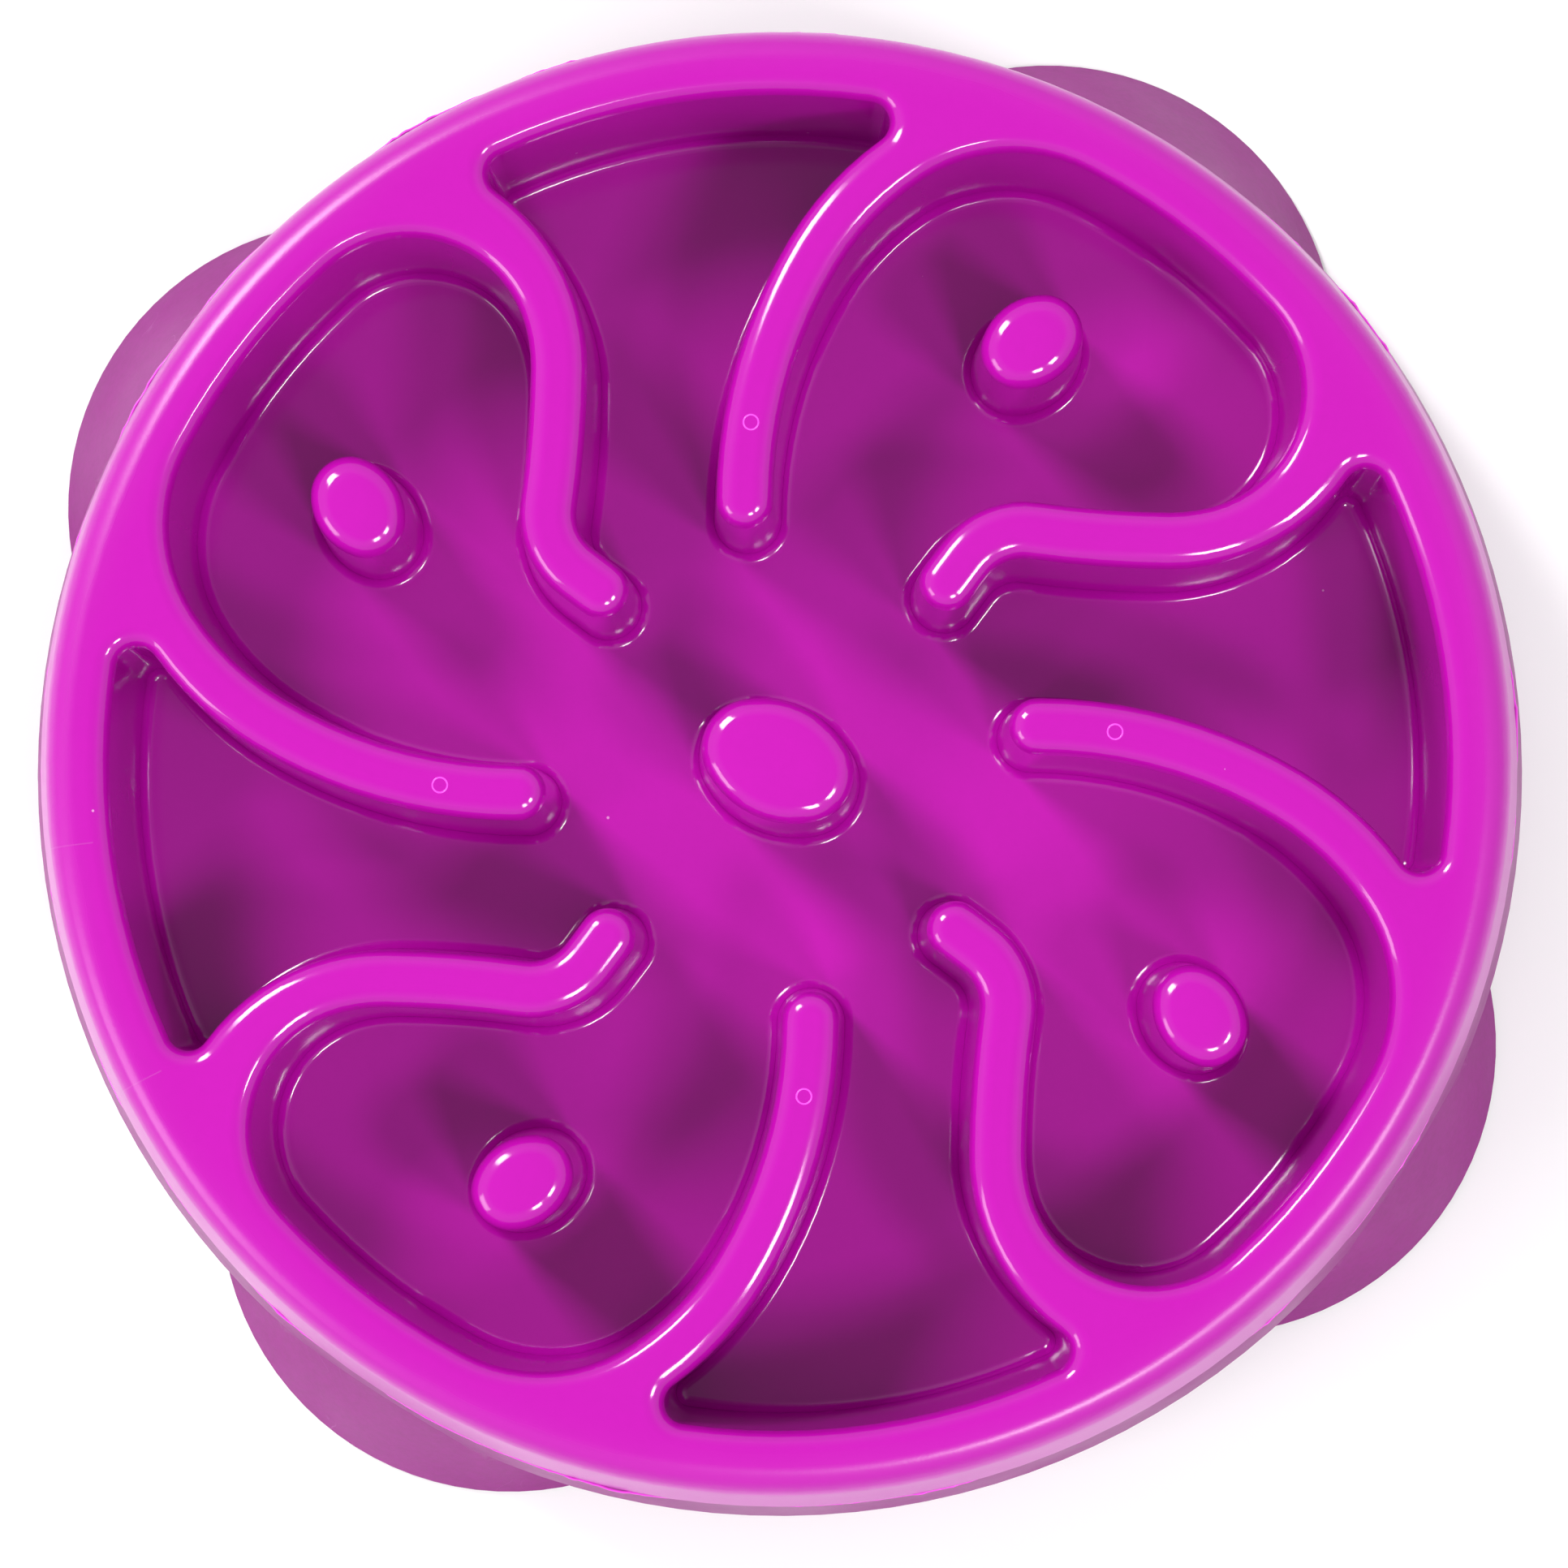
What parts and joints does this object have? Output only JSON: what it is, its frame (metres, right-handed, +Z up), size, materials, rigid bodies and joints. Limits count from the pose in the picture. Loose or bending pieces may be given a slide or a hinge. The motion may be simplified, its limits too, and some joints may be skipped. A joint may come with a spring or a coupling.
{
  "type": "slow feeder bowl",
  "caption": "Round slow feeder bowl: a glossy maze tray with curved ridges and oval posts, on a satin base with flared padded feet.",
  "frame": {"origin": "on the ground, under the centre of the bowl", "axes": "+Z up along the bowl's axis; +Y is the top of the picture and +X its right"},
  "size_m": [0.2158, 0.2158, 0.046],
  "materials": {
    "tray_gloss": "glossy magenta-purple",
    "pan_satin": "satin plum",
    "pad_rubber": "matt soft rubber, plum"
  },
  "bodies": {
    "root": {"feeder_tray": "tray_gloss", "base_pan": "pan_satin", "foot_pad_ne": "pad_rubber", "foot_pad_nw": "pad_rubber", "foot_pad_sw": "pad_rubber", "foot_pad_se": "pad_rubber"}
  },
  "joints": []
}
